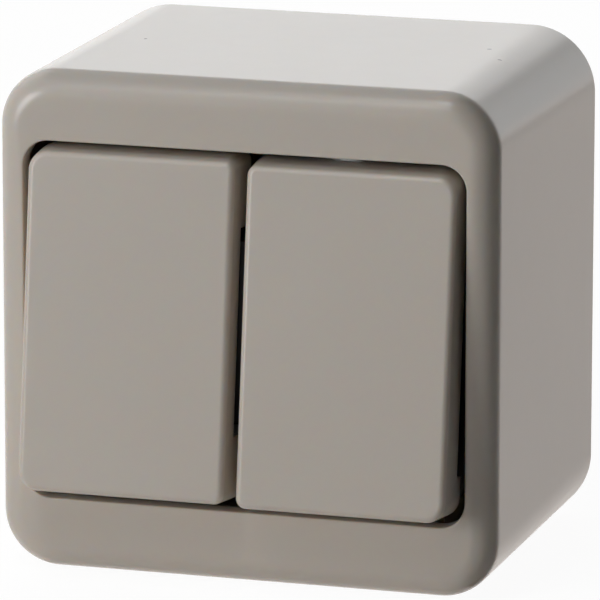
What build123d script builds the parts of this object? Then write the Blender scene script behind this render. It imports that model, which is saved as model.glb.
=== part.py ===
from build123d import *
import math
import os

# Surface-mounted double rocker switch, in millimetres.
# It is drawn as seen on the wall: x to the right, y up, z out of the wall, with the wall at z = 0.
# The export at the end turns it so that z is up and the front faces -y.

# Housing
housing_width = 65.0
housing_height = 64.3
housing_depth = 47.4
draft_angle = 0.43
side_wall = 2.2
front_wall = 2.6
corner_radius = 8.0
front_edge_flat = 0.11
side_border = 3.97
end_border = 8.975
opening_corner_radius = 3.3
lip_radius = 0.25
rib_thickness = 1.2
rib_start = 12.0
side_rib_offset = 8.0
knockout_width = 18.0
knockout_depth = 15.0
knockout_groove = 1.2
knockout_skin = 0.8
release_notch_width = 8.0
release_notch_depth = 1.0

# Rocker caps
cap_side_gap = 0.97
cap_end_gap = 2.0
rocker_gap = 1.56
rocker_proud = 3.52
rocker_edge_radius = 1.0
outer_corner_radius = 2.5
inner_corner_radius = 1.3
cavity_corner_radius = 0.8
cap_face = 2.0
cap_wall = 1.5
skirt_depth = 7.2
outer_skirt_depth = 5.6
outer_relief_length = 32.0
inner_skirt_depth = 3.8
inner_relief_length = 26.0
clip_width = 10.0
clip_thickness = 1.2
clip_lip = 0.7
clip_lip_height = 1.1

# Rocker pivots
pivot_below_face = 7.3
rocker_tilt = 7.0
right_rocker_drop = 0.25
pin_radius = 1.5
pin_length = 2.0

# Actuators
actuator_width = 17.0
actuator_length = 30.0
actuator_plate = 2.0
cheek_thickness = 1.5
hub_radius = 2.8
tube_radius = 3.2
tube_length = 7.2
tube_end_wall = 2.3
rib_depth = 1.0
actuator_window_length = 6.0
actuator_window_width = 9.0
actuator_window_offset = 9.5

# Plungers and springs
plunger_radius = 1.8
plunger_top = 2.7
plunger_bore_radius = 1.2
plunger_bore_depth = 5.8
spring_wire = 0.24
spring_wire_sides = 6
spring_turns = 5

# Contact levers
lever_pivot_rise = 6.0
lever_tilt = 9.0
lever_width = 8.0
lever_length = 21.6
lever_sheet = 0.8
lever_offset = 0.5
bead_radius = 0.9
bead_length = 5.0
guide_tab_length = 8.0
guide_tab_height = 1.5
contact_head_radius = 1.5
contact_head_height = 0.8
contact_shank_radius = 0.78
contact_close_radius = 1.3
contact_close_height = 0.35
fixed_head_radius = 1.6
fixed_head_height = 0.89
fixed_dome_radius = 3.0

# Terminals
strip_sheet = 0.8
strip_width = 6.0
saddle_width = 3.2
saddle_rise = 0.1
platform_edge = 0.1
riser_inset = 0.2
block_size = 7.0
block_height = 8.0
wire_hole_radius = 1.6
wire_hole_height = 2.9
terminal_screw_lift = 1.0

# Mechanism base
mechanism_side_space = 6.5
mechanism_below_pivot = 7.62
mechanism_depth = 14.5
mechanism_corner_radius = 3.0
mechanism_floor = 2.5
block_cover = 0.4
chamber_width = 12.0
chamber_length = 25.0
well_wall = 1.8
stop_post_width = 6.0
stop_post_length = 2.2

# Mechanism cover with its bearings
cover_thickness = 2.5
cover_band_height = 27.0
cover_lug_width = 7.6
window_width = 8.6
window_height = 13.0
bearing_block_inset = 1.5
bearing_block_gap = 0.8
bearing_block_fall = 1.2
bearing_block_crown = 1.5
ear_thickness = 2.2
ear_base_width = 8.0

# Wall base
base_plate = 2.5
base_rim_height = 2.5
base_rim_thickness = 1.2
post_radius = 3.6
wall_hole_inset = 3.85
wall_hole_radius = 2.2
wall_boss_radius = 3.5
wall_boss_height = 0.8
tongue_width = 8.0
tongue_height = 8.0
tongue_thickness = 1.4
tongue_offset = 16.0
barb_reach = 0.7
barb_height = 2.6

# Cable grommet
cable_hole_radius = 10.5
grommet_flange = 1.9
grommet_flange_height = 1.2
grommet_back_flange = 1.1
grommet_back_height = 1.0
membrane_thickness = 0.8
cable_bore_radius = 4.0
collar_height = 3.0
collar_wall = 1.0

# Screws
screw_radius = 1.45
screw_head_radius = 2.6
screw_head_height = 2.0
screw_slot_width = 0.7
screw_slot_depth = 1.0
corner_screw_inset = 4.0
base_screw_rise = 8.5
base_screw_length = 18.0
cover_screw_length = 12.0

# Clearances
running_clearance = 0.05
plunger_clearance = 0.08
side_clearance = 0.3
screw_clearance = 0.25
contact_gap = 0.1
tip_clearance = 0.06
spring_clearance = 0.1
stop_clearance = 0.2

# Sizes worked out from the ones above
taper = housing_depth * math.tan(math.radians(draft_angle))
front_edge_radius = side_border - taper - front_edge_flat
opening_width = housing_width - 2 * side_border
opening_height = housing_height - 2 * end_border
rocker_width = (opening_width - rocker_gap) / 2 - cap_side_gap
rocker_height = opening_height - 2 * cap_end_gap
rocker_x = (rocker_width + rocker_gap) / 2
rocker_end_radius = math.hypot(rocker_height / 2, pivot_below_face)
face_level = housing_depth + rocker_proud
pivot_level = face_level - pivot_below_face
terminal_start = chamber_length / 2 + well_wall + side_clearance
mechanism_width = housing_width - 2 * mechanism_side_space
mechanism_height = 2 * (terminal_start + block_size + block_cover)
mechanism_front = pivot_level - mechanism_below_pivot
mechanism_back = mechanism_front - mechanism_depth
floor_level = mechanism_back + mechanism_floor
cover_level = mechanism_front + cover_thickness
corner_screw_x = (mechanism_width - cover_lug_width) / 2
corner_screw_y = mechanism_height / 2 - corner_screw_inset
base_screw_seat = mechanism_back + base_screw_rise
bearing_block_length = inner_relief_length - 2 * bearing_block_inset
bearing_block_rise = pivot_below_face - inner_skirt_depth - bearing_block_gap
lever_pivot_height = floor_level + lever_pivot_rise
contact_arm = lever_length / 2 - contact_head_radius
riser_place = chamber_length / 2 - riser_inset
spring_radius = plunger_bore_radius - spring_wire - spring_clearance
tip_reach = pivot_level - lever_pivot_height - lever_offset - lever_sheet - tip_clearance
thread_radius = screw_radius + running_clearance
drop_of_side = {-1: 0.0, 1: -right_rocker_drop}
name_of_side = {-1: "left", 1: "right"}


def block(x_range, y_range, z_range):
    """A box between three pairs of limits."""
    spans = [x_range, y_range, z_range]
    centre = [(low + high) / 2 for low, high in spans]
    return Pos(*centre) * Box(*[high - low for low, high in spans])


def slab(width, height, radius, low, high):
    """A plate with rounded corners, between two heights over the wall."""
    return Pos(0, 0, low) * extrude(RectangleRounded(width, height, radius), high - low)


def post(x, y, radius, low, high):
    """A round post or hole square to the wall."""
    return Pos(x, y, (low + high) / 2) * Cylinder(radius, high - low)


def axle(y, z, radius, start, end):
    """A round bar or hole along x."""
    return Pos((start + end) / 2, y, z) * Rot(Y=90) * Cylinder(radius, end - start)


def side_profile(points, start, end):
    """A solid with an outline of (y, z) points, carried along x from start to end."""
    outline = make_face(Polyline(*points, close=True))
    return extrude(Plane.YZ.offset(start) * outline, end - start)


def turned(points):
    """A solid turned about the z axis from an outline of (radius, z) points."""
    outline = make_face(Polyline(*points, close=True))
    return revolve(Plane.XZ * outline, Axis.Z)


def tapered_box(wall, depth):
    """The housing's drafted form from the wall outwards, drawn in by a wall thickness."""
    width = housing_width - 2 * wall
    height = housing_height - 2 * wall
    return extrude(RectangleRounded(width, height, corner_radius - wall), depth, taper=draft_angle)


def inner_half(size, level):
    """Half the housing's inner width or height at a height over the wall."""
    return size / 2 - side_wall - level * math.tan(math.radians(draft_angle))


def housing_ribs():
    """Guide ribs inside the housing that steady it on the mechanism base."""
    top = mechanism_front
    ribs = []
    for side in (-1, 1):
        for offset in (-side_rib_offset, side_rib_offset):
            start = mechanism_width / 2 + side_clearance
            reach = sorted([side * start, side * (housing_width / 2 - side_wall / 2 - taper)])
            across = (offset - rib_thickness / 2, offset + rib_thickness / 2)
            ribs.append(block(reach, across, (rib_start, top)))
        for offset in (-corner_screw_x, corner_screw_x):
            start = mechanism_height / 2 + side_clearance
            reach = sorted([side * start, side * (housing_height / 2 - side_wall / 2 - taper)])
            across = (offset - rib_thickness / 2, offset + rib_thickness / 2)
            ribs.append(block(across, reach, (rib_start, top)))
    return ribs


def knockout():
    """The U-shaped groove inside the bottom wall, which lets a cable opening be broken out."""
    floor = -inner_half(housing_height, 0)
    depth = side_wall - knockout_skin
    height = (floor - depth, floor + side_wall)
    outer = block((-knockout_width / 2, knockout_width / 2), height, (-1, knockout_depth))
    core_half = knockout_width / 2 - knockout_groove
    core = block((-core_half, core_half), height, (-1, knockout_depth - knockout_groove))
    return outer - core


def make_housing():
    """The deep one-piece housing with its rounded opening."""
    outer = tapered_box(0, housing_depth)
    outer = fillet(outer.faces().sort_by(Axis.Z)[-1].edges(), front_edge_radius)
    top = housing_depth - front_wall
    inner = tapered_box(side_wall, top)
    opening = slab(opening_width, opening_height, opening_corner_radius, top - 1, housing_depth + 1)
    shell = outer - inner - opening
    front = shell.faces().sort_by(Axis.Z)[-1]
    shell = fillet(front.inner_wires()[0].edges(), lip_radius)
    for rib in housing_ribs():
        shell += rib
    shell -= knockout()
    for side in (-1, 1):
        for offset in (-tongue_offset, tongue_offset):
            shell -= barb_pocket(side, offset)
    notch_height = (-housing_height / 2 - 1, -inner_half(housing_height, 0) + side_wall)
    notch_start = housing_width / 4 - release_notch_width / 2
    notch_place = (notch_start, notch_start + release_notch_width)
    return shell - block(notch_place, notch_height, (-1, release_notch_depth))


def barb_pocket(side, offset):
    """The pocket inside the housing's side wall that a tongue's barb catches in."""
    half = inner_half(housing_width, 0) - side_clearance
    reach = sorted([side * (half - 1), side * (half + barb_reach + side_clearance)])
    along = (offset - tongue_width / 2 - side_clearance, offset + tongue_width / 2 + side_clearance)
    top = base_plate + tongue_height
    return block(reach, along, (top - barb_height - side_clearance, top + side_clearance))


def snap_tongue(side, offset):
    """A tongue on the edge of the wall base, with its barb."""
    half = inner_half(housing_width, 0) - side_clearance
    top = base_plate + tongue_height
    along = (offset - tongue_width / 2, offset + tongue_width / 2)
    tongue = block(sorted([side * (half - tongue_thickness), side * half]), along, (0, top))
    barb = [
        (side * (half - tongue_thickness), top),
        (side * half, top),
        (side * (half + barb_reach), top - barb_height + barb_reach / 2),
        (side * half, top - barb_height),
        (side * (half - tongue_thickness), top - barb_height),
    ]
    outline = make_face(Polyline(*barb, close=True))
    return tongue + extrude(Plane.XZ.offset(-offset) * outline, tongue_width / 2, both=True)


def make_wall_base():
    """The base plate that is screwed to the wall and carries everything else."""
    width = 2 * (inner_half(housing_width, 0) - side_clearance)
    height = 2 * (inner_half(housing_height, 0) - side_clearance)
    radius = corner_radius - side_wall - side_clearance
    rim = base_rim_thickness
    top = base_plate + base_rim_height
    body = slab(width, height, radius, 0, top)
    body -= slab(width - 2 * rim, height - 2 * rim, radius - rim, base_plate, top + 1)
    for side in (-1, 1):
        for offset in (-tongue_offset, tongue_offset):
            body += snap_tongue(side, offset)
    for x in (-corner_screw_x, corner_screw_x):
        for y in (-corner_screw_y, corner_screw_y):
            body += post(x, y, post_radius, base_plate / 2, mechanism_back)
    screw_end = base_screw_seat - base_screw_length - 1
    for sign in (-1, 1):
        thread_place = (-sign * corner_screw_x, sign * corner_screw_y)
        body -= post(*thread_place, thread_radius, screw_end, mechanism_back + 1)
        place = sign * (height / 2 - wall_hole_inset)
        body += post(0, place, wall_boss_radius, base_plate / 2, base_plate + wall_boss_height)
        body -= post(0, place, wall_hole_radius, -1, base_plate + wall_boss_height + 1)
    body -= post(0, 0, cable_hole_radius, -1, base_plate + 1)
    seat_radius = cable_hole_radius + grommet_back_flange + running_clearance
    return body - post(0, 0, seat_radius, -1, grommet_back_height + running_clearance)


def make_cable_grommet():
    """The rubber grommet, clipped in the cable hole, with a thin membrane and a collar."""
    neck = cable_hole_radius - running_clearance
    back = running_clearance
    back_top = grommet_back_height
    front = base_plate + grommet_flange_height
    membrane = back_top + membrane_thickness
    collar = cable_bore_radius + collar_wall
    lip = neck - grommet_flange_height
    return turned([
        (neck + grommet_back_flange, back),
        (neck + grommet_back_flange, back_top),
        (neck, back_top),
        (neck, base_plate),
        (neck + grommet_flange, base_plate),
        (neck, front),
        (lip, front),
        (lip, membrane),
        (collar, membrane),
        (cable_bore_radius + collar_wall / 2, membrane + collar_height),
        (cable_bore_radius, membrane + collar_height),
        (cable_bore_radius, back_top),
        (lip, back_top),
        (lip, back),
    ])


def well_cut(x, sign):
    """A terminal well, open to the front and to one side, where the wires come in."""
    half = block_size / 2 + side_clearance
    start = terminal_start - side_clearance
    reach = sorted([sign * start, sign * (mechanism_height / 2 + 1)])
    well = block((x - half, x + half), reach, (floor_level, mechanism_front + 1))
    slot_half = strip_width / 2 + side_clearance
    slot = sorted([0, sign * (start + 1)])
    return well + block((x - slot_half, x + slot_half), slot, (floor_level, mechanism_front + 1))


def stop_post(side):
    """The insulating stop that the lever's upper arm rests on when the switch is off."""
    turn = math.radians(lever_tilt)
    end = contact_arm + stop_post_length / 2
    top = lever_pivot_height - end * math.tan(turn) + lever_offset * math.cos(turn) - stop_clearance
    place = drop_of_side[side] + contact_arm
    centre = side * rocker_x
    across = (centre - stop_post_width / 2, centre + stop_post_width / 2)
    along = (place - stop_post_length / 2, place + stop_post_length / 2)
    return block(across, along, (floor_level - mechanism_floor / 2, top))


def make_mechanism_base():
    """The moulded socket with two contact chambers and three terminal wells."""
    body = slab(
        mechanism_width, mechanism_height, mechanism_corner_radius, mechanism_back, mechanism_front
    )
    along = (-chamber_length / 2, chamber_length / 2)
    open_front = (floor_level, mechanism_front + 1)
    for side in (-1, 1):
        centre = side * rocker_x
        body -= block((centre - chamber_width / 2, centre + chamber_width / 2), along, open_front)
        body -= well_cut(centre, -1)
    cross_half = strip_width / 2 + side_clearance
    body -= block((-rocker_x, rocker_x), (-cross_half, cross_half), open_front)
    body -= well_cut(0, 1)
    for side in (-1, 1):
        body += stop_post(side)
        base_place = (-side * corner_screw_x, side * corner_screw_y)
        cover_place = (side * corner_screw_x, side * corner_screw_y)
        body -= post(*base_place, screw_radius + screw_clearance, mechanism_back - 1, mechanism_front)
        body -= post(
            *base_place, screw_head_radius + screw_clearance, base_screw_seat, mechanism_front + 1
        )
        body -= post(*cover_place, thread_radius, floor_level, mechanism_front + 1)
    return body


def bearing_outline():
    """The outline of the middle bearing block, from the side: a low roof, clear of the caps."""
    half = bearing_block_length / 2
    top = pivot_level + bearing_block_rise
    eaves = top - bearing_block_fall
    return [
        (-half, mechanism_front),
        (half, mechanism_front),
        (half, eaves),
        (bearing_block_crown, top),
        (-bearing_block_crown, top),
        (-half, eaves),
    ]


def block_half():
    """Half the middle bearing block's width, so that an actuator runs beside it."""
    return rocker_x - actuator_width / 2 - side_clearance


def outer_ear(side):
    """The outer bearing ear of one rocker, a tab with a round top."""
    inner = rocker_x + actuator_width / 2 + side_clearance
    start, end = sorted([side * inner, side * (inner + ear_thickness)])
    place = drop_of_side[side]
    hub = axle(place, pivot_level, hub_radius, start, end)
    half = ear_base_width / 2
    web = side_profile(
        [
            (place - half, mechanism_front),
            (place + half, mechanism_front),
            (place + hub_radius, pivot_level),
            (place - hub_radius, pivot_level),
        ],
        start,
        end,
    )
    bore = axle(place, pivot_level, pin_radius + running_clearance, start - 1, end + 1)
    return hub + web - bore


def make_mechanism_cover():
    """The black cover that closes the socket and carries the rocker bearings."""
    body = slab(
        mechanism_width, mechanism_height, mechanism_corner_radius, mechanism_front, cover_level
    )
    notch_half = mechanism_width / 2 - cover_lug_width
    for sign in (-1, 1):
        reach = sorted([sign * cover_band_height / 2, sign * (mechanism_height / 2 + 1)])
        body -= block((-notch_half, notch_half), reach, (mechanism_front - 1, cover_level + 1))
    middle = side_profile(bearing_outline(), -block_half(), block_half())
    body += middle
    for side in (-1, 1):
        centre = side * rocker_x
        place = drop_of_side[side]
        body -= block(
            (centre - window_width / 2, centre + window_width / 2),
            (place - window_height / 2, place + window_height / 2),
            (mechanism_front - 1, cover_level + 1),
        )
        pin_end = rocker_x - actuator_width / 2 - pin_length - side_clearance
        start, end = sorted([side * pin_end, side * (block_half() + 1)])
        body -= axle(place, pivot_level, pin_radius + running_clearance, start, end)
        body += outer_ear(side)
        place = (side * corner_screw_x, side * corner_screw_y)
        body -= post(*place, screw_radius + screw_clearance, mechanism_front - 1, cover_level + 1)
        seat = mechanism_front + cover_thickness / 2
        body -= post(*place, screw_head_radius + screw_clearance, seat, cover_level + 1)
        other = (-side * corner_screw_x, side * corner_screw_y)
        body -= post(*other, screw_head_radius, mechanism_front - 1, cover_level + 1)
    return body


def cap_form(wall, back, front, outer_radius, inner_radius):
    """The right-hand cap's form, drawn in by a wall. Its ends are arcs about the pivot."""
    half = rocker_width / 2 - wall
    reach = rocker_end_radius - wall
    body = block((-half, half), (-reach - 1, reach + 1), (back, front))
    body = body & axle(0, 0, reach, -half, half)
    body = fillet(body.edges().filter_by(GeomType.CIRCLE).sort_by(Axis.X)[-2:], outer_radius)
    return fillet(body.edges().filter_by(GeomType.CIRCLE).sort_by(Axis.X)[:2], inner_radius)


def cap_clip(sign):
    """A clip arm inside the cap, whose lip holds the end of the actuator's plate."""
    under_face = pivot_below_face - cap_face
    plate_back = under_face - actuator_plate
    inner = actuator_length / 2 + running_clearance
    low = plate_back - stop_clearance - clip_lip_height
    across = (-clip_width / 2, clip_width / 2)
    arm = block(across, sorted([sign * inner, sign * (inner + clip_thickness)]), (low, under_face))
    lip_reach = sorted([sign * (inner - clip_lip), sign * (inner + clip_thickness / 2)])
    return arm + block(across, lip_reach, (low, low + clip_lip_height))


def make_right_cap():
    """The right-hand rocker cap about its pivot, level: a thin shell with reliefs in its skirts."""
    back = pivot_below_face - skirt_depth
    body = cap_form(0, back, pivot_below_face, outer_corner_radius, inner_corner_radius)
    body = fillet(body.faces().sort_by(Axis.Z)[-1].edges(), rocker_edge_radius)
    under_face = pivot_below_face - cap_face
    body -= cap_form(cap_wall, back - 1, under_face, cavity_corner_radius, cavity_corner_radius)
    half = rocker_width / 2
    long = outer_relief_length / 2
    short = inner_relief_length / 2
    outer = (half - 2 * cap_wall, half + 1)
    inner = (-half - 1, -half + 2 * cap_wall)
    body -= block(outer, (-long, long), (back - 1, pivot_below_face - outer_skirt_depth))
    body -= block(inner, (-short, short), (back - 1, pivot_below_face - inner_skirt_depth))
    for sign in (-1, 1):
        body += cap_clip(sign)
    return body


def make_actuator():
    """The cradle under a cap, about its pivot: plate, cheeks with pivot stubs, plunger tube."""
    top = pivot_below_face - cap_face
    under = top - actuator_plate
    half = actuator_width / 2
    length = actuator_length / 2
    body = block((-half, half), (-length, length), (under, top))
    for sign in (-1, 1):
        place = sign * actuator_window_offset
        body -= block(
            (-actuator_window_width / 2, actuator_window_width / 2),
            (place - actuator_window_length / 2, place + actuator_window_length / 2),
            (under - 1, top + 1),
        )
        start, end = sorted([sign * (half - cheek_thickness), sign * half])
        body += axle(0, 0, hub_radius, start, end)
        cheek = [(-hub_radius, 0), (hub_radius, 0), (2 * hub_radius, under), (-2 * hub_radius, under)]
        body += side_profile(cheek, start, end)
        start, end = sorted([sign * (half - cheek_thickness), sign * (half + pin_length)])
        body += axle(0, 0, pin_radius, start, end)
    rib_half = half - cheek_thickness / 2
    across = (-cheek_thickness / 2, cheek_thickness / 2)
    body += block((-rib_half, rib_half), across, (-rib_depth, under))
    body += post(0, 0, tube_radius, -tube_length, under)
    bore = plunger_radius + plunger_clearance
    return body - post(0, 0, bore, -tube_length - 1, top - tube_end_wall)


def make_plunger():
    """A round-tipped plunger with a spring bore, about the rocker's pivot."""
    neck = tip_reach - plunger_radius
    body = post(0, 0, plunger_radius, -neck, -plunger_top)
    body += Pos(0, 0, -neck) * Sphere(plunger_radius)
    return body - post(0, 0, plunger_bore_radius, -plunger_top - plunger_bore_depth, 0)


def make_plunger_spring():
    """The coil spring between the plunger's bore and the end of the tube."""
    low = -plunger_top - plunger_bore_depth + spring_wire + running_clearance
    high = pivot_below_face - cap_face - tube_end_wall - spring_wire - running_clearance
    path = Pos(0, 0, low) * Helix((high - low) / spring_turns, high - low, spring_radius)
    start = Plane(origin=path @ 0, z_dir=path % 0)
    return sweep(start * RegularPolygon(spring_wire, spring_wire_sides), path)


def make_contact_lever():
    """The brass see-saw about its pivot, level: a strip with a pivot bead and guide tabs."""
    top = lever_offset + lever_sheet
    body = block(
        (-lever_width / 2, lever_width / 2), (-lever_length / 2, lever_length / 2), (lever_offset, top)
    )
    body += axle(0, 0, bead_radius, -bead_length / 2, bead_length / 2)
    for sign in (-1, 1):
        across = sorted([sign * (lever_width / 2 - lever_sheet), sign * lever_width / 2])
        along = (-guide_tab_length / 2, guide_tab_length / 2)
        body += block(across, along, (lever_offset, top + guide_tab_height))
    hole_radius = contact_shank_radius + running_clearance
    return body - post(0, -contact_arm, hole_radius, 0, top + 1)


def make_moving_contact():
    """The contact rivet in the lever's lower arm."""
    top = lever_offset + lever_sheet
    rivet = turned([
        (0, lever_offset - contact_head_height),
        (contact_head_radius, lever_offset - contact_head_height),
        (contact_head_radius, lever_offset),
        (contact_shank_radius, lever_offset),
        (contact_shank_radius, top),
        (contact_close_radius, top),
        (contact_close_radius, top + contact_close_height),
        (0, top + contact_close_height),
    ])
    return Pos(0, -contact_arm, 0) * rivet


def fixed_contact_place():
    """Where the fixed contact's dome has its centre: in front of the closed moving contact."""
    turn = math.radians(lever_tilt)
    face = lever_offset - contact_head_height
    along = -contact_arm * math.cos(turn) - face * math.sin(turn)
    out = -contact_arm * math.sin(turn) + face * math.cos(turn)
    reach = fixed_dome_radius + contact_gap
    return along + reach * math.sin(turn), lever_pivot_height + out - reach * math.cos(turn)


def make_fixed_contact(side):
    """The domed contact rivet on an output terminal's platform."""
    place, centre = fixed_contact_place()
    top = centre + fixed_dome_radius
    platform_height = top - fixed_head_height
    bottom = platform_height - strip_sheet - contact_close_height
    body = post(0, 0, fixed_head_radius, platform_height, top)
    body = body & (Pos(0, 0, centre) * Sphere(fixed_dome_radius))
    body += post(0, 0, contact_shank_radius, bottom, platform_height)
    body += post(0, 0, contact_close_radius, bottom, bottom + contact_close_height)
    return Pos(side * rocker_x, place + drop_of_side[side], 0) * body


def terminal_block(x, sign):
    """A terminal's clamp block, with its wire hole and its threaded hole."""
    middle = terminal_start + block_size / 2
    top = floor_level + block_height
    reach = sorted([sign * terminal_start, sign * (terminal_start + block_size)])
    body = block((x - block_size / 2, x + block_size / 2), reach, (floor_level, top))
    wire_level = floor_level + wire_hole_height
    wire_way = Rot(X=90) * Cylinder(wire_hole_radius, block_size + 2)
    body -= Pos(x, sign * middle, wire_level) * wire_way
    return body - post(x, sign * middle, thread_radius, wire_level, top + 1)


def make_common_terminal():
    """The common brass strip with a saddle under each lever and its clamp block."""
    top = floor_level + strip_sheet
    half = strip_width / 2
    end = rocker_x + bead_length / 2
    body = block((-end, end), (-half, half), (floor_level, top))
    body += block((-half, half), (0, terminal_start + 1), (floor_level, top))
    body += terminal_block(0, 1)
    for side in (-1, 1):
        place = drop_of_side[side]
        ends = (side * rocker_x - bead_length / 2, side * rocker_x + bead_length / 2)
        along = (place - saddle_width / 2, place + saddle_width / 2)
        body += block(ends, along, (floor_level, lever_pivot_height - saddle_rise))
        groove = bead_radius + running_clearance
        body -= axle(place, lever_pivot_height, groove, ends[0] - 1, ends[1] + 1)
    return body


def make_output_terminal(side):
    """An output strip: clamp block, riser and the platform that carries the fixed contact."""
    x = side * rocker_x
    ends = (x - strip_width / 2, x + strip_width / 2)
    place, dome_centre = fixed_contact_place()
    platform_height = dome_centre + fixed_dome_radius - fixed_head_height
    platform_end = place + fixed_head_radius + platform_edge
    low = floor_level
    outline = [
        (-terminal_start - 1, low),
        (-riser_place + strip_sheet, low),
        (-riser_place + strip_sheet, platform_height - strip_sheet),
        (platform_end, platform_height - strip_sheet),
        (platform_end, platform_height),
        (-riser_place, platform_height),
        (-riser_place, low + strip_sheet),
        (-terminal_start - 1, low + strip_sheet),
    ]
    body = side_profile(outline, *ends) + terminal_block(x, -1)
    hole_radius = contact_shank_radius + running_clearance
    hole_place = place + drop_of_side[side]
    return body - post(x, hole_place, hole_radius, low + strip_sheet, platform_height + 1)


def screw(x, y, seat, length):
    """A slotted cheese-head screw whose head sits on a given height."""
    top = seat + screw_head_height
    body = post(x, y, screw_head_radius, seat, top)
    body = chamfer(body.faces().sort_by(Axis.Z)[-1].edges(), screw_slot_width / 2)
    body += post(x, y, screw_radius, seat - length, seat)
    across = (x - screw_head_radius - 1, x + screw_head_radius + 1)
    slot = (y - screw_slot_width / 2, y + screw_slot_width / 2)
    return body - block(across, slot, (top - screw_slot_depth, top + 1))


def terminal_screw(x, sign):
    """A clamp screw, backed off by a turn or two, in a terminal block."""
    middle = terminal_start + block_size / 2
    block_top = floor_level + block_height
    seat = block_top + terminal_screw_lift
    length = seat - floor_level - wire_hole_height - wire_hole_radius - running_clearance
    return screw(x, sign * middle, seat, length)


def place_on_pivot(body, side):
    """Tilt a level rocker piece to its rest pose, bottom end out, and put it on its pivot."""
    return Pos(side * rocker_x, drop_of_side[side], pivot_level) * Rot(X=-rocker_tilt) * body


def place_on_saddle(body, side):
    """Tilt a level lever piece to its rest pose, lower arm in, and put it on its saddle."""
    return Pos(side * rocker_x, drop_of_side[side], lever_pivot_height) * Rot(X=lever_tilt) * body


pieces = {
    "housing": make_housing(),
    "wall_base": make_wall_base(),
    "cable_grommet": make_cable_grommet(),
    "mechanism_base": make_mechanism_base(),
    "mechanism_cover": make_mechanism_cover(),
    "common_terminal": make_common_terminal(),
    "common_screw": terminal_screw(0, 1),
}
cover_seat = mechanism_front + cover_thickness / 2
for side, height in ((1, "upper"), (-1, "lower")):
    base_place = (-side * corner_screw_x, side * corner_screw_y)
    cover_place = (side * corner_screw_x, side * corner_screw_y)
    pieces[height + "_base_screw"] = screw(*base_place, base_screw_seat, base_screw_length)
    pieces[height + "_cover_screw"] = screw(*cover_place, cover_seat, cover_screw_length)
for side, name in name_of_side.items():
    cap = make_right_cap() if side == 1 else mirror(make_right_cap(), about=Plane.YZ)
    pieces[name + "_rocker"] = place_on_pivot(cap, side)
    pieces[name + "_actuator"] = place_on_pivot(make_actuator(), side)
    pieces[name + "_plunger"] = place_on_pivot(make_plunger(), side)
    pieces[name + "_plunger_spring"] = place_on_pivot(make_plunger_spring(), side)
    pieces[name + "_contact_lever"] = place_on_saddle(make_contact_lever(), side)
    pieces[name + "_moving_contact"] = place_on_saddle(make_moving_contact(), side)
    pieces[name + "_output_terminal"] = make_output_terminal(side)
    pieces[name + "_output_screw"] = terminal_screw(side * rocker_x, -1)
    pieces[name + "_fixed_contact"] = make_fixed_contact(side)

os.makedirs("parts", exist_ok=True)
for name, body in pieces.items():
    export_step(Plane.XZ * body, "parts/" + name + ".step")
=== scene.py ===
import math
import bmesh
import bpy
import numpy as np
from mathutils import Matrix, Vector


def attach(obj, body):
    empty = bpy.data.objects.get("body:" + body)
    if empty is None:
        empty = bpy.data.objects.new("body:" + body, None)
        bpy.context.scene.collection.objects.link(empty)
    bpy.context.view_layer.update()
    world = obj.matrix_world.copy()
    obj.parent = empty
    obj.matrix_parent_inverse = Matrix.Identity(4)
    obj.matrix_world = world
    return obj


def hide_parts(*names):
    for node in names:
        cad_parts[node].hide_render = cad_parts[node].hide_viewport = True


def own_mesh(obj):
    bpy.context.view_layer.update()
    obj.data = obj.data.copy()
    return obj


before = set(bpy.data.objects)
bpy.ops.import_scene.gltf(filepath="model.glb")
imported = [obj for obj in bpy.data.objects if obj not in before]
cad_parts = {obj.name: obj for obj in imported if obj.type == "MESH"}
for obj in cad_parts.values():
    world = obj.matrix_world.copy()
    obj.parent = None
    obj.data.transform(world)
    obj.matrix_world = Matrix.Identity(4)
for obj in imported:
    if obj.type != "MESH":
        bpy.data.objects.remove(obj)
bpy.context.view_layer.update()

# The housing is one deep hood, moulded in cream-white plastic: drafted walls, a rolled front edge and a
# rounded opening with a fine lip. It snaps over the tongues of the wall base, and ribs steady it
# inside.
half_width = 0.0325
half_height = 0.03215
depth = 0.0474
draft = math.radians(0.43)
back_corner = 0.0084
front_corner = 0.0072
front_edge = 0.00338
back_edge = 0.0003
side_wall = 0.0022
front_wall = 0.0026
opening_half_width = 0.02853
opening_half_height = 0.023175
opening_corner = 0.0033
bottom_rise = 0.00073
lip = 0.00022
corner_steps = 24
back_edge_steps = 4
lip_steps = 6
lead = 0.00012
flat_lead = 0.03
sharp_from = math.radians(38)


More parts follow.
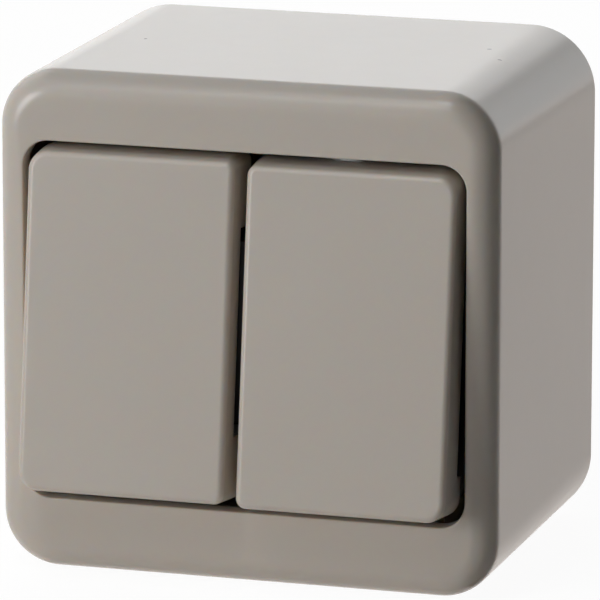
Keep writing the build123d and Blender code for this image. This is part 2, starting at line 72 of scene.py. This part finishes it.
def outline_rings(widths, heights, left_radii, right_radii, left_stops=(), right_stops=()):
    """Rounded rectangles as an array of (rings, points, 2), one ring for each value of the first four
    arrays. A corner is its centre plus its radius times (cos t, sin t), t over a quarter turn, with a
    short straight lead before and after it. Stops are extra heights along the left or right side, in
    the order of travel."""
    turn = np.linspace(0, np.pi / 2, corner_steps + 1)
    rows = []
    for quarter, (side, end) in enumerate(((1, 1), (-1, 1), (-1, -1), (1, -1))):
        radius = (right_radii if side == 1 else left_radii)[:, None]
        angle = turn[None, :] + quarter * np.pi / 2
        x = side * (widths[:, None] - radius) + radius * np.cos(angle)
        z = end * (heights[:, None] - radius) + radius * np.sin(angle)
        way_in = (-math.sin(quarter * math.pi / 2), math.cos(quarter * math.pi / 2))
        way_out = (-math.cos(quarter * math.pi / 2), -math.sin(quarter * math.pi / 2))
        x = np.hstack([x[:, :1] - lead * way_in[0], x, x[:, -1:] + lead * way_out[0]])
        z = np.hstack([z[:, :1] - lead * way_in[1], z, z[:, -1:] + lead * way_out[1]])
        rows.append(np.stack([x, z], axis=-1))
        for stops, turn_done, wall in ((left_stops, 1, -1), (right_stops, 3, 1)):
            if quarter == turn_done and len(stops):
                x = np.repeat(wall * widths[:, None], len(stops), axis=1)
                z = np.repeat(np.array(stops)[None, :], len(widths), axis=0)
                rows.append(np.stack([x, z], axis=-1))
    return np.concatenate(rows, axis=1)


def ring_piece(name, rings, loop):
    """A closed smooth mesh from an array of (rings, points, 3). Each ring is joined to the next by
    quads, and the last to the first if loop is true; otherwise the first and the last ring are each
    closed by a face."""
    count, points = rings.shape[:2]
    index = np.arange(count * points).reshape(count, points)
    following = np.roll(index, -1, axis=0) if loop else index[1:]
    index_here = index if loop else index[:-1]
    corners = [index_here, np.roll(index_here, -1, axis=1), np.roll(following, -1, axis=1), following]
    faces = np.stack(corners, axis=-1).reshape(-1, 4).tolist()
    if not loop:
        faces += [index[0].tolist(), index[-1].tolist()]
    mesh = bpy.data.meshes.new(name)
    mesh.from_pydata(rings.reshape(-1, 3).tolist(), [], faces)
    return finish_mesh(name, mesh)


def finish_mesh(name, mesh):
    """Turns a mesh's faces outwards, shades it smooth between its real edges and puts it in the
    scene."""
    work = bmesh.new()
    work.from_mesh(mesh)
    bmesh.ops.recalc_face_normals(work, faces=work.faces)
    work.to_mesh(mesh)
    work.free()
    mesh.shade_smooth()
    mesh.set_sharp_from_angle(angle=sharp_from)
    piece = bpy.data.objects.new(name, mesh)
    bpy.context.scene.collection.objects.link(piece)
    return piece


def arc(start, end, steps):
    """Evenly spaced angles from start to end, in radians, as an array."""
    return np.linspace(start, end, steps + 1)


def outer_half(level):
    """Half the housing's width at a height over the wall: it narrows by the draft."""
    return half_width - level * math.tan(draft)


def corner_at(level):
    """The housing's corner radius at a height over the wall."""
    return back_corner + (front_corner - back_corner) * level / depth


def housing_rings():
    """The housing's skin as rings along its profile: the back edge, the drafted wall, the rolled front
    edge, the flat front, the lip, the opening's wall, and back along the inside to the rim. The front's
    bottom strip is the wider one: there the opening's rings are raised."""
    slope = half_width - half_height
    edge_turn = arc(-np.pi / 2, draft, back_edge_steps)
    width = [outer_half(back_edge) - back_edge + back_edge * np.cos(edge_turn)]
    level = [back_edge + back_edge * np.sin(edge_turn)]
    roll_level = depth - front_edge
    roll_centre = outer_half(roll_level) - front_edge
    wall_level = np.array([back_edge + lead, roll_level - lead])
    width.append(outer_half(wall_level))
    level.append(wall_level)
    roll_turn = arc(draft, np.pi / 2, corner_steps)
    width.append(roll_centre + front_edge * np.cos(roll_turn))
    level.append(roll_level + front_edge * np.sin(roll_turn))
    width = np.concatenate(width)
    level = np.concatenate(level)
    radius = corner_at(level) - (outer_half(level) - width)
    height = width - slope

    lip_start = np.array([opening_half_width + lip, opening_half_height + lip, opening_corner + lip])
    flat_start = np.array([width[-1], height[-1], radius[-1]])
    share = np.array([flat_lead, 1 - flat_lead, 1])[:, None]
    flat = flat_start + share * (lip_start - flat_start)
    lip_turn = arc(np.pi / 2, np.pi, lip_steps)[1:, None]
    rolled = lip_start + lip * np.cos(lip_turn)
    opening = np.array([opening_half_width, opening_half_height, opening_corner])
    inside_top = depth - front_wall
    inner = np.array([
        [outer_half(h) - side_wall, outer_half(h) - slope - side_wall, corner_at(h) - side_wall]
        for h in (inside_top, 0)
    ])
    sizes = np.vstack([np.stack([width, height, radius], axis=1), flat, rolled, opening, inner])
    rest = [depth] * 3, depth - lip + lip * np.sin(lip_turn[:, 0]), [inside_top, inside_top, 0]
    level = np.concatenate([level, *rest])
    outline = outline_rings(sizes[:, 0], sizes[:, 1], sizes[:, 2], sizes[:, 2])
    rise = np.zeros(len(sizes))
    rise[len(width) + 1:-2] = bottom_rise
    outline[..., 1] += rise[:, None] * (outline[..., 1] < 0)
    out = np.broadcast_to(-level[:, None], outline.shape[:2])
    return np.stack([outline[..., 0], out, outline[..., 1]], axis=-1)


def shape_with_boxes(piece, operation, boxes, place=lambda points: points):
    """Joins boxes to a piece, or cuts them from it. A box is its lowest and its highest corner, and
    place puts the eight corners that these make into the frame."""
    spot = np.array([[i & 1, i >> 1 & 1, i >> 2 & 1] for i in range(8)])
    sides = np.array([[0, 2, 3, 1], [4, 5, 7, 6], [0, 1, 5, 4], [2, 6, 7, 3], [0, 4, 6, 2], [1, 3, 7, 5]])
    low, high = np.sort(np.array(boxes), axis=1).transpose(1, 0, 2)[:, :, None, :]
    points = place((low + spot[None] * (high - low)).reshape(-1, 3))
    faces = (sides[None] + 8 * np.arange(len(boxes))[:, None, None]).reshape(-1, 4)
    mesh = bpy.data.meshes.new("boxes")
    mesh.from_pydata(points.tolist(), [], faces.tolist())
    tool = finish_mesh("boxes", mesh)
    change = piece.modifiers.new("boxes", "BOOLEAN")
    change.operation = operation
    change.object = tool
    change.solver = "EXACT"
    change.use_self = True
    evaluated = piece.evaluated_get(bpy.context.evaluated_depsgraph_get())
    shaped = bpy.data.meshes.new_from_object(evaluated)
    piece.modifiers.clear()
    shaped.name = piece.name
    piece.data = shaped
    shaped.shade_smooth()
    shaped.set_sharp_from_angle(angle=sharp_from)
    bpy.data.objects.remove(tool)


def cream_plastic(name, colour, gloss, dusty_over=None):
    """Smooth cream-white plastic that lets a little light in: cloudy colour, soft flow marks and fine
    orange peel. Above a height, where one is given, it has dark specks, at the cell centres of a
    Voronoi pattern that lie in the patches of a broad noise."""
    material, place, shader = new_material(name)
    cloud = place.noise(scale=38, detail=2)
    flow = place.noise(scale=260, detail=3)
    peel = place.noise(scale=1500, detail=2)
    tint = place.mix(cloud, [0.975 * c for c in colour], [1.02 * c for c in colour])
    if dusty_over is not None:
        spots = {"Vector": place, "Scale": 150, "Randomness": 1.0}
        speck = place.node("ShaderNodeTexVoronoi", {"feature": "F1"}, spots, "Distance")
        patch = place.noise(scale=90, detail=0)
        height = place.node("ShaderNodeSeparateXYZ", {}, {"Vector": place}, "Z")
        dust = (speck < 0.05) * (patch > 0.52) * (height > dusty_over)
        tint = place.mix(0.8 * dust, tint, [0.3 * c for c in colour])
    shader.feed("Base Color", tint)
    shader.feed("Roughness", gloss + 0.05 * flow)
    shader.feed("Subsurface Weight", 0.7)
    shader.feed("Subsurface Radius", (1.0, 0.62, 0.36))
    shader.feed("Subsurface Scale", 0.0009)
    skin = 0.7 * peel + 0.3 * flow
    bump = place.node("ShaderNodeBump", {}, {"Height": skin, "Strength": 0.10, "Distance": 0.00005})
    shader.feed("Normal", bump)
    return material


class Wire:
    """An output socket of a shading node. Sums, products and comparisons of wires add Math nodes."""

    def __init__(self, tree, socket):
        self.tree = tree
        self.socket = socket

    def node(self, kind, settings=None, inputs=None, output=0):
        """Adds a node: its settings are set first, then its sockets are filled with wires or
        constants."""
        made = self.tree.nodes.new(kind)
        for key, value in (settings or {}).items():
            setattr(made, key, value)
        for key, value in (inputs or {}).items():
            if isinstance(value, Wire):
                self.tree.links.new(value.socket, made.inputs[key])
            else:
                made.inputs[key].default_value = value
        return Wire(self.tree, made.outputs[output])

    def math(self, operation, first, second):
        return self.node("ShaderNodeMath", {"operation": operation}, {0: first, 1: second})

    def __add__(self, other):
        return self.math("ADD", self, other)

    def __sub__(self, other):
        return self.math("SUBTRACT", self, other)

    def __rsub__(self, other):
        return self.math("SUBTRACT", other, self)

    def __mul__(self, other):
        return self.math("MULTIPLY", self, other)

    def __gt__(self, other):
        return self.math("GREATER_THAN", self, other)

    def __lt__(self, other):
        return self.math("LESS_THAN", self, other)

    __radd__ = __add__
    __rmul__ = __mul__

    def noise(self, scale, detail=2, distortion=0.0):
        """Soft noise over this place, about 0 to 1, with so many features to the metre."""
        sockets = {"Vector": self, "Scale": scale, "Detail": detail, "Distortion": distortion}
        return self.node("ShaderNodeTexNoise", {}, sockets, "Fac")

    def mix(self, share, first, second):
        """A colour between two others, which are wires or three numbers each. The Mix node's colour
        sockets are its inputs 6 and 7 and its output 2."""
        ends = [end if isinstance(end, Wire) else (*end, 1.0) for end in (first, second)]
        return self.node("ShaderNodeMix", {"data_type": "RGBA"}, {0: share, 6: ends[0], 7: ends[1]}, 2)


class Shader:
    """A material's Principled BSDF: sockets are filled by name, with a wire or with a number or
    colour."""

    def __init__(self, tree):
        self.tree = tree
        self.bsdf = tree.nodes["Principled BSDF"]

    def feed(self, name, value):
        if isinstance(value, Wire):
            self.tree.links.new(value.socket, self.bsdf.inputs[name])
        else:
            self.bsdf.inputs[name].default_value = value


def coordinates(tree, kind):
    """The wire of a node tree's Object or Generated coordinates."""
    return Wire(tree, tree.nodes.new("ShaderNodeTexCoord").outputs[kind])


def new_material(name):
    """A new material, the wire of its Object coordinates, and its shader."""
    material = bpy.data.materials.new(name)
    material.use_nodes = True
    return material, coordinates(material.node_tree, "Object"), Shader(material.node_tree)


def dress(piece, material):
    """Gives a piece one material."""
    piece.data.materials.clear()
    piece.data.materials.append(material)


rib_half = 0.0006
rib_levels = (0.012, 0.036)
side_rib_place = 0.008
side_rib_reach = (0.0263, 0.03105)
end_rib_place = 0.0222
end_rib_reach = (0.0223, 0.0307)
knockout_half = 0.009
knockout_level = 0.015
groove = 0.0012
groove_floor = -0.03135
groove_top = -0.02775
notch = (0.01225, 0.02025)
notch_level = 0.001
pocket_place = 0.016
pocket_half = 0.0043
pocket_levels = (0.0076, 0.0108)
pocket_reach = (0.029, 0.031)
past = 0.001


def housing_ribs():
    """Boxes of the guide ribs inside the housing, two on each wall, that steady it on the socket."""
    low, high = rib_levels
    ribs = []
    for side in (-1, 1):
        for place in (-side_rib_place, side_rib_place):
            near, far = side * np.array(side_rib_reach)
            ribs.append([(near, -high, place - rib_half), (far, -low, place + rib_half)])
        for place in (-end_rib_place, end_rib_place):
            near, far = side * np.array(end_rib_reach)
            ribs.append([(place - rib_half, -high, near), (place + rib_half, -low, far)])
    return ribs


def housing_cuts():
    """Boxes cut from the housing: the U-shaped groove of the knock-out in its bottom wall, the notch at
    its back edge for a screwdriver, and the pockets for the snap tongues in its side walls."""
    inner_half, inner_level = knockout_half - groove, knockout_level - groove
    cuts = [
        [(-knockout_half, -inner_level, groove_floor), (-inner_half, past, groove_top)],
        [(inner_half, -inner_level, groove_floor), (knockout_half, past, groove_top)],
        [(-knockout_half, -knockout_level, groove_floor), (knockout_half, -inner_level, groove_top)],
        [(notch[0], -notch_level, -half_height - past), (notch[1], past, groove_top)],
    ]
    low, high = pocket_levels
    for side in (-1, 1):
        for place in (-pocket_place, pocket_place):
            near, far = side * np.array(pocket_reach)
            cuts.append([(near, -high, place - pocket_half), (far, -low, place + pocket_half)])
    return cuts


cream = (0.72, 0.645, 0.56)
polish = 0.22
top_level = 0.0315
housing = ring_piece("housing_hood", housing_rings(), loop=True)
shape_with_boxes(housing, "UNION", housing_ribs())
shape_with_boxes(housing, "DIFFERENCE", housing_cuts())
dress(housing, cream_plastic("housing_plastic", cream, polish, dusty_over=top_level))
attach(housing, "switch_body")
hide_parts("housing")

# Each rocker is a thin moulded cap of the same plastic, clipped on its cradle. Its edges are rounded,
# its skirts have a relief on each side, and it rests with its bottom end out. The right one hangs a
# little lower.
cap_half_width = 0.01339
cap_half_height = 0.02117
cap_edge = 0.0008
cap_edge_steps = 16
skirt_steps = 8
inside_steps = 5
cap_outer_corner = 0.0025
cap_inner_corner = 0.0013
cavity_corner = 0.0008
least_corner = 0.0001
cap_face = 0.002
cap_wall = 0.0015
skirt = 0.0072
outer_relief = 0.0056
outer_relief_half = 0.016
inner_relief = 0.0038
inner_relief_half = 0.013
face_over_pivot = 0.0073
pivot_out = 0.04362
pivot_side = 0.01417
rest_tilt = math.radians(7)
step_gap = 0.00001
clip_half_width = 0.005
clip_inside = 0.01505
clip_wall = 0.0012
clip_lip = 0.0007
clip_lip_height = 0.0011
clip_low = 0.002
clip_root = 0.0005
rockers = (("left", -1, 0.0), ("right", 1, -0.00025))


def end_half(level, wall):
    """Half the cap's length at a level over the pivot. The ends are arcs about the pivot, sqrt(R^2 -
    level^2), and the outer one rolls over into the face by an arc of the edge's radius that is tangent
    to both."""
    reach = math.hypot(cap_half_height, face_over_pivot) - wall
    ends = np.sqrt(reach**2 - level**2)
    roll_level = face_over_pivot - cap_edge
    roll_centre = math.sqrt((reach - cap_edge) ** 2 - roll_level**2)
    over = np.clip(level - roll_level, 0, cap_edge)
    rolled = roll_centre + np.sqrt(cap_edge**2 - over**2)
    starts = roll_level * reach / (reach - cap_edge)
    return np.where((level > starts) & (wall == 0), rolled, ends)


def relief_stops(half):
    """Heights just outside and just inside the two ends of a relief, from the top down."""
    return [half + step_gap, half - step_gap, step_gap - half, -half - step_gap]


def cap_rings(side):
    """A cap's skin as rings, level and about its pivot, in (across, up, out): from the face over the
    rounded edge, down the skirt to a bottom that steps up at the reliefs, and up the inside to the
    ceiling. A relief lifts each ring by its share of the way down the skirt. Only the top end is an
    arc: the bottom end stands square to the face."""
    turn = arc(np.pi / 2, 0, cap_edge_steps)
    steps = np.linspace(0, 1, skirt_steps + 1)[1:]
    back_steps = np.linspace(0, 1, inside_steps + 1)
    skirt_end = face_over_pivot - skirt
    roll_end = face_over_pivot - cap_edge
    rolled_out = roll_end + cap_edge * np.sin(turn)
    wall_out = roll_end + steps * (skirt_end - roll_end)
    inside_out = skirt_end + back_steps * (face_over_pivot - cap_face - skirt_end)
    out = np.concatenate([[face_over_pivot], rolled_out, wall_out])
    share = np.concatenate([[0], 0 * turn, steps, 1 - back_steps])
    inset = np.concatenate([
        [cap_edge + lead], cap_edge * (1 - np.cos(turn)), 0 * steps, cap_wall + 0 * back_steps
    ])
    half_length = np.concatenate([end_half(out, 0), end_half(inside_out, cap_wall)])
    half_length[0] -= lead
    walls = [
        (cap_outer_corner, outer_relief_half, skirt - outer_relief),
        (cap_inner_corner, inner_relief_half, skirt - inner_relief),
    ]
    left, right = walls if side < 0 else walls[::-1]
    least = least_corner + cavity_corner * (inset >= cap_wall)
    radii = [np.maximum(corner - inset, least) for corner in (left[0], right[0])]
    stops = relief_stops(left[1]), relief_stops(right[1])[::-1]
    outline = outline_rings(cap_half_width - inset, half_length, *radii, *stops)
    bottom = outline[..., 1] < -outer_relief_half - lead
    outline[..., 1] += bottom * (half_length - (cap_half_height - inset))[:, None]
    across, up = outline[len(turn) + 1].T
    on_wall = np.abs(across) > cap_half_width - step_gap
    lift = np.zeros(across.shape)
    for way, (_, relief_half, step) in ((-1, left), (1, right)):
        lift[on_wall & (way * across > 0) & (np.abs(up) < relief_half)] = step
    level = np.concatenate([out, inside_out])[:, None] + share[:, None] * lift[None, :]
    return np.stack([outline[..., 0], outline[..., 1], level], axis=-1)


def on_pivot(points, side, drop):
    """Points given as (across, up, out) about the pivot, tilted to rest and put in the frame."""
    across, up, out = np.moveaxis(points, -1, 0)
    up_now = up * math.cos(rest_tilt) + out * math.sin(rest_tilt)
    out_now = out * math.cos(rest_tilt) - up * math.sin(rest_tilt)
    return np.stack([across + side * pivot_side, -pivot_out - out_now, up_now + drop], axis=-1)


def cap_clips():
    """Boxes, in (across, up, out) about the pivot, of the two arms whose lips hold the cradle's
    plate."""
    under_face = face_over_pivot - cap_face
    arm = clip_inside, clip_inside + clip_wall, under_face + clip_root
    hook = clip_inside - clip_lip, clip_inside + clip_wall / 2, clip_low + clip_lip_height
    return [
        [(-clip_half_width, end * near, clip_low), (clip_half_width, end * far, high)]
        for end in (-1, 1)
        for near, far, high in (arm, hook)
    ]


cap_plastic = cream_plastic("rocker_plastic", cream, polish)
for name, side, drop in rockers:
    cap = ring_piece(name + "_cap", on_pivot(cap_rings(side), side, drop), loop=False)
    shape_with_boxes(cap, "UNION", cap_clips(), lambda points: on_pivot(points, side, drop))
    dress(cap, cap_plastic)
    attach(cap, name + "_rocker_body")
    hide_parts(name + "_rocker")


# The wall base is a flat tray of the same plastic without its polish, moulded with a rim, four spacers
# and the snap tongues that hold the housing. Two screws through it hold the switch on the wall.
def plain_plastic(name, colour, gloss, grain):
    """Moulded plastic with a dull skin: cloudy colour and a fine grain, with so many features to the
    metre."""
    material, place, shader = new_material(name)
    cloud = place.noise(scale=70, detail=3)
    skin = place.noise(scale=grain, detail=2)
    shader.feed("Base Color", place.mix(cloud, [0.9 * c for c in colour], [1.08 * c for c in colour]))
    shader.feed("Roughness", gloss + 0.14 * skin)
    bump = place.node("ShaderNodeBump", {}, {"Height": skin, "Strength": 0.25, "Distance": 0.00005})
    shader.feed("Normal", bump)
    return material


def dress_nodes(material, *names):
    """Gives a material to solids that keep their own shape."""
    for name in names:
        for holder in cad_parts[name].material_slots:
            holder.material = material


dress_nodes(plain_plastic("base_plastic_dull", (0.60, 0.565, 0.51), 0.46, 2200), "wall_base")

# The cable grommet is a soft black rubber disc, pressed in the tray's hole, whose thin membrane and
# collar close round the cable. Its skin is dull, with the powdery marks of its mould.
def rubber(name, colour):
    """Soft rubber: near-black, with pale powdery patches and a fine dull grain."""
    material, place, shader = new_material(name)
    powder = place.noise(scale=320, detail=4, distortion=0.6)
    grain = place.noise(scale=2600, detail=2)
    shader.feed("Base Color", place.mix(powder * powder, colour, [2.6 * c for c in colour]))
    shader.feed("Roughness", 0.62 + 0.2 * powder)
    bump = place.node("ShaderNodeBump", {}, {"Height": grain, "Strength": 0.35, "Distance": 0.00006})
    shader.feed("Normal", bump)
    return material


dress_nodes(rubber("grommet_rubber_black", (0.018, 0.018, 0.019)), "cable_grommet")

# The socket is pressed from grey thermoset with two contact chambers and three terminal wells, and the
# cover that closes it and carries the rockers' bearings is pressed from black thermoset.
dress_nodes(plain_plastic("socket_thermoset", (0.20, 0.20, 0.195), 0.5, 1700), "mechanism_base")
dress_nodes(plain_plastic("cover_thermoset", (0.007, 0.007, 0.008), 0.55, 1900), "mechanism_cover")

# Each cap sits on a cradle of dark nylon that turns on two stubs, with a tube in which a natural acetal
# plunger slides on its spring.
dress_nodes(
    plain_plastic("cradle_nylon", (0.035, 0.035, 0.037), 0.4, 2000), "left_actuator", "right_actuator"
)
dress_nodes(
    plain_plastic("plunger_acetal", (0.72, 0.70, 0.65), 0.3, 1400), "left_plunger", "right_plunger"
)


# The current runs through stamped brass strips with clamp blocks, and through two brass see-saws that
# close on silver contact rivets. The strip shows the fine lines of its rolling, and a little tarnish.
def bright_metal(name, colour, tarnish, gloss, lines):
    """Metal with fine lines, drawn out by a scale along each axis, and cloudy tarnish."""
    material, place, shader = new_material(name)
    drawn = place.node("ShaderNodeMapping", {}, {"Vector": place, "Scale": lines})
    grain = drawn.noise(scale=1400, detail=3)
    cloud = place.noise(scale=240, detail=4)
    shader.feed("Metallic", 1.0)
    shader.feed("Base Color", place.mix(cloud, tarnish, colour))
    shader.feed("Roughness", gloss + 0.14 * grain + 0.08 * cloud)
    bump = place.node("ShaderNodeBump", {}, {"Height": grain, "Strength": 0.15, "Distance": 0.00003})
    shader.feed("Normal", bump)
    return material


brass = bright_metal("rolled_brass", (0.80, 0.60, 0.27), (0.60, 0.41, 0.17), 0.20, (0.12, 1.0, 1.0))
silver = bright_metal("contact_alloy", (0.86, 0.85, 0.82), (0.66, 0.64, 0.60), 0.16, (1.0, 1.0, 1.0))
dress_nodes(brass, "common_terminal", "left_output_terminal", "right_output_terminal")
dress_nodes(brass, "left_contact_lever", "right_contact_lever")
dress_nodes(silver, "left_moving_contact", "right_moving_contact")
dress_nodes(silver, "left_fixed_contact", "right_fixed_contact")

# The slotted screws are turned from steel and zinc-plated. Three clamp the wires in the terminals'
# blocks, two hold the socket on the wall base, and two hold the cover on the socket.
zinc = bright_metal("zinc_plate", (0.68, 0.69, 0.71), (0.48, 0.49, 0.50), 0.24, (1.0, 0.15, 1.0))
dress_nodes(zinc, "common_screw", "left_output_screw", "right_output_screw")
dress_nodes(zinc, "upper_base_screw", "lower_base_screw", "upper_cover_screw", "lower_cover_screw")

# Each plunger spring is wound from drawn steel wire with its end turns closed. It stands in the
# cradle's tube and pushes the plunger out. The real one shortens as the plunger is pressed in; this mesh
# keeps one length.
spring_low = -0.00821
spring_high = 0.00271
spring_radius = 0.00086
spring_turns = 6.5
turn_steps = 24
wire_radius = 0.00024
wire_sides = 12
closed_pitch = 0.0005
closed_turns = 1


def coil_rings():
    """The wire's skin as rings, in (across, up, out) about the rocker's pivot. Its centre line is (R
    cos t, R sin t, h): h rises by the closed pitch over the first and the last turn, and evenly faster
    between them. Each ring is a circle in the plane across the centre line."""
    turn = np.linspace(0, spring_turns, int(turn_steps * spring_turns) + 1)
    middle = (turn[1:] + turn[:-1]) / 2
    opening = np.clip(2 * (middle - closed_turns), 0, 1)
    closing = np.clip(2 * (spring_turns - closed_turns - middle), 0, 1)
    opened = opening * closing
    rise = closed_pitch * np.diff(turn)
    rise += opened / opened.sum() * (spring_high - spring_low - rise.sum())
    height = spring_low + np.concatenate([[0], np.cumsum(rise)])
    angle = 2 * np.pi * turn
    outward = np.stack([np.cos(angle), np.sin(angle), 0 * angle], axis=-1)
    centre = spring_radius * outward
    centre[:, 2] = height
    along = np.gradient(centre, axis=0)
    along /= np.linalg.norm(along, axis=1, keepdims=True)
    across = np.cross(along, outward)
    spin = np.linspace(0, 2 * np.pi, wire_sides, endpoint=False)[None, :, None]
    circle = np.cos(spin) * outward[:, None] + np.sin(spin) * across[:, None]
    return centre[:, None] + wire_radius * circle


spring_wire = bright_metal("spring_wire", (0.50, 0.50, 0.52), (0.34, 0.34, 0.35), 0.22, (1.0, 1.0, 1.0))
for name, side, drop in rockers:
    coil = ring_piece(name + "_plunger_coil", on_pivot(coil_rings(), side, drop), loop=False)
    dress(coil, spring_wire)
    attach(coil, name + "_rocker_body")
    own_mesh(coil)
    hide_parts(name + "_plunger_spring")


# The camera stands in front of the switch, a little to the right and above, with a long lens. Its place
# and its turn are fitted to the straight edges of the switch in the photograph.
camera_azimuth = math.radians(16.897)
camera_elevation = math.radians(12.891)
camera_roll = math.radians(0.059)
camera_distance = 0.8259
camera_aside = 0.007107
camera_up = 0.004549
focal_pixels = 6691
image_pixels = 600
sensor = 36
back = Vector((
    math.sin(camera_azimuth) * math.cos(camera_elevation),
    -math.cos(camera_azimuth) * math.cos(camera_elevation),
    math.sin(camera_elevation),
))
level_right = Vector((math.cos(camera_azimuth), math.sin(camera_azimuth), 0))
level_up = back.cross(level_right)
right = level_right * math.cos(camera_roll) + level_up * math.sin(camera_roll)
up = level_up * math.cos(camera_roll) - level_right * math.sin(camera_roll)
lens = bpy.data.cameras.new("camera")
lens.sensor_width = sensor
lens.lens = focal_pixels / image_pixels * sensor
lens.clip_start = 0.01
lens.clip_end = 20
camera = bpy.data.objects.new("camera", lens)
place = Vector((0, -depth, 0)) + camera_aside * right + camera_up * up + camera_distance * back
camera.matrix_world = Matrix.Translation(place) @ Matrix((right, up, back)).transposed().to_4x4()
bpy.context.scene.collection.objects.link(camera)
bpy.context.scene.camera = camera

# The floor is a wide pale sheet under the switch, which the camera sees nearly white but still with the
# soft shadow of the switch on it. For gloss it glows a warm white behind the switch's front right corner
# and to the left of it: a painted reflection, which adds no light to dull surfaces.
floor_half = 4.0
floor_seen = 0.88
floor_glow = 1.08
edge_centre = (half_width - front_edge, -(depth - front_edge), -half_height)


def white_share(way):
    """How white gloss mirrors the room along a way of length 1: behind the switch the share is 4 y -
    2.4, to its left 0.8 - 3 x, each held between 0 and 1, and the larger one counts."""
    unit = way.node("ShaderNodeVectorMath", {"operation": "NORMALIZE"}, {0: way})
    across = unit.node("ShaderNodeSeparateXYZ", {}, {0: unit}, "X")
    backwards = unit.node("ShaderNodeSeparateXYZ", {}, {0: unit}, "Y")
    behind = backwards.node("ShaderNodeClamp", {}, {0: 4.0 * backwards - 2.4})
    left = across.node("ShaderNodeClamp", {}, {0: 0.8 - 3.0 * across})
    return behind.math("MAXIMUM", behind, left)


def ray_kinds(tree):
    """Two wires: the first is 1 for what the camera sees itself, the second for what gloss mirrors."""
    path = tree.nodes.new("ShaderNodeLightPath")
    return Wire(tree, path.outputs["Is Camera Ray"]), Wire(tree, path.outputs["Is Glossy Ray"])


floor_paint, spot, paint = new_material("floor_paint")
paint.feed("Base Color", (0.72, 0.715, 0.70, 1))
paint.feed("Roughness", 0.7)
seen, mirrored = ray_kinds(paint.tree)
from_edge = spot.node("ShaderNodeVectorMath", {"operation": "SUBTRACT"}, {0: spot, 1: edge_centre})
glow_colour = spot.mix(mirrored, (1, 1, 1), (1.08, 1.0, 0.95))
glow = spot.node("ShaderNodeEmission", {}, {"Color": glow_colour, "Strength": floor_glow})
share = floor_seen * seen + mirrored * white_share(from_edge)
matt = Wire(paint.tree, paint.bsdf.outputs[0])
blend = spot.node("ShaderNodeMixShader", {}, {0: share, 1: matt, 2: glow})
paint.tree.links.new(blend.socket, paint.tree.nodes["Material Output"].inputs["Surface"])
floor_mesh = bpy.data.meshes.new("floor")
corners = [(x * floor_half, y * floor_half, -half_height) for x, y in ((-1, -1), (1, -1), (1, 1), (-1, 1))]
floor_mesh.from_pydata(corners, [], [(0, 1, 2, 3)])
floor_mesh.materials.append(floor_paint)
floor = bpy.data.objects.new("floor", floor_mesh)
bpy.context.scene.collection.objects.link(floor)

# Soft studio light comes from the left front, from over the front and from behind, and none from the
# right front, so the rounded front edge there stays dark. Each lamp is given by its azimuth and
# elevation in degrees, its width and height in metres, its power in watts and its colour.
cool = (0.965, 1.0, 1.045)
white = (1.0, 1.0, 1.0)
lamp_distance = 0.75
lamps = {
    "left_front": (-38, 9, 0.25, 0.30, 1.60, cool),
    "left_high": (-28, 35, 0.25, 0.25, 0.20, cool),
    "front_high": (-17, 52, 0.20, 0.20, 0.38, cool),
    "overhead": (-17, 70, 0.14, 0.14, 0.58, cool),
    "right_back": (150, 10, 0.40, 0.50, 0.35, white),
    "left_back": (-120, 40, 0.50, 0.50, 0.60, white),
    "backdrop": (-163, 15, 0.60, 0.36, 0.52, white),
}
for name, (azimuth, elevation, width, height, power, colour) in lamps.items():
    turned, raised = math.radians(azimuth), math.radians(elevation)
    way = Vector((
        math.sin(turned) * math.cos(raised), -math.cos(turned) * math.cos(raised), math.sin(raised)
    ))
    lamp = bpy.data.lights.new(name, "AREA")
    lamp.shape = "RECTANGLE"
    lamp.size = width
    lamp.size_y = height
    lamp.energy = power
    lamp.color = colour
    light = bpy.data.objects.new(name, lamp)
    light.location = Vector((0, -depth / 2, 0)) + lamp_distance * way
    light.rotation_mode = "QUATERNION"
    light.rotation_quaternion = (-way).to_track_quat("-Z", "Y")
    bpy.context.scene.collection.objects.link(light)

# The room is white where the camera sees it and where gloss mirrors what is behind the switch or to its
# left. It adds no light to dull surfaces.
world = bpy.data.worlds.new("room")
world.use_nodes = True
bpy.context.scene.world = world
seen, mirrored = ray_kinds(world.node_tree)
strength = seen + mirrored * white_share(coordinates(world.node_tree, "Generated"))
background = world.node_tree.nodes["Background"].inputs
background["Color"].default_value = (1, 1, 1, 1)
world.node_tree.links.new(strength.socket, background["Strength"])
bpy.context.scene.view_settings.view_transform = "Standard"
